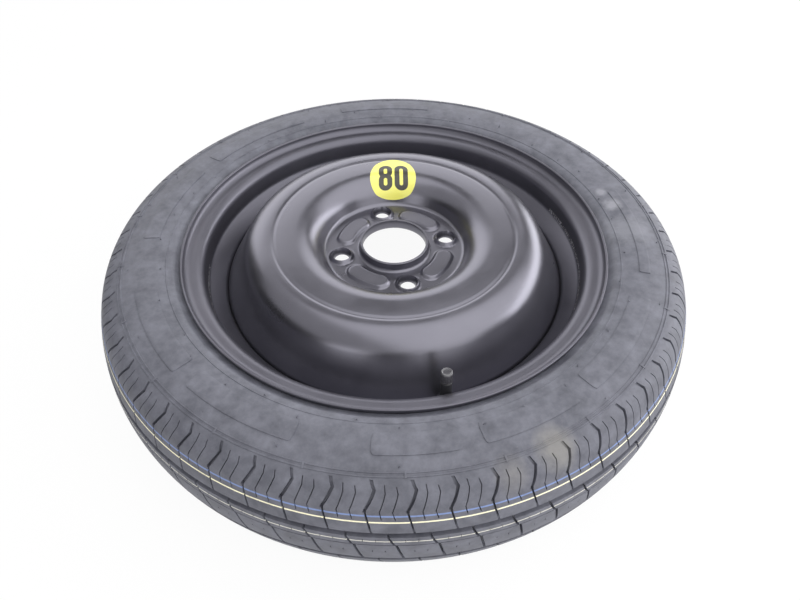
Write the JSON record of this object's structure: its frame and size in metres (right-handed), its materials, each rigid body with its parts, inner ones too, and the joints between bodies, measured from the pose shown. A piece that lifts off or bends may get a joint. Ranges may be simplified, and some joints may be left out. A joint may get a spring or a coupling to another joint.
{
  "type": "space saver spare wheel",
  "caption": "Temporary spare wheel: narrow grooved tyre on a grey steel rim and domed disc, with hub bore, nut seats, yellow label and capped rubber valve.",
  "frame": {"origin": "centre of the hub bore, in the plane of the face that bolts to the hub", "axes": "+Z along the wheel's axis to the street side, +X through a nut hole, -Y towards the valve"},
  "size_m": [0.581, 0.581, 0.1324],
  "materials": {
    "tyre_rubber": "matt moulded rubber, greyish, with a painted blue line and two cream lines on the tread",
    "rim_paint": "satin grey wheel enamel on rolled steel",
    "disc_paint": "satin grey wheel enamel on pressed steel",
    "label_film": "glossy yellow film with dark numerals",
    "valve_rubber": "matt black rubber",
    "stem_brass": "turned brass",
    "core_brass": "turned brass, lightly plated",
    "core_seal": "smooth red sealing ring",
    "spring_steel": "drawn spring wire",
    "cap_plastic": "black moulded plastic"
  },
  "bodies": {
    "wheel": {"tyre": "tyre_rubber", "rim": "rim_paint", "wheel_disc": "disc_paint", "speed_label": "label_film", "valve_body": "valve_rubber", "valve_stem": "stem_brass", "core_plug": "core_brass", "core_barrel": "core_brass", "core_gasket": "core_seal", "core_spring": "spring_steel"},
    "pin": {"valve_pin": "core_brass", "pin_seal": "valve_rubber"},
    "cap_washer": {"cap_gasket": "valve_rubber"},
    "cap": {"valve_cap": "cap_plastic"}
  },
  "joints": [
    {"name": "pin_press", "type": "slide", "parent": "wheel", "child": "pin", "axis": [0, -0.0698, -0.9976], "range_m": [0, 0.0012], "stiffness_N_per_m": 800, "springref_m": -0.002, "deforming": ["core_spring"]},
    {"name": "cap_lift", "type": "slide", "parent": "wheel", "child": "cap_washer", "axis": [0, 0.0698, 0.9976], "range_m": [0, 0.00397]},
    {"name": "cap_turn", "type": "hinge", "parent": "cap_washer", "child": "cap", "pos_m": [0, -0.1792, -0.0105], "axis": [0, 0.0698, 0.9976], "range_deg": [0, 1800]}
  ],
  "couplings": [
    {"joint": "cap_turn", "follows": "cap_lift", "rad_per_m": 7915.8}
  ]
}
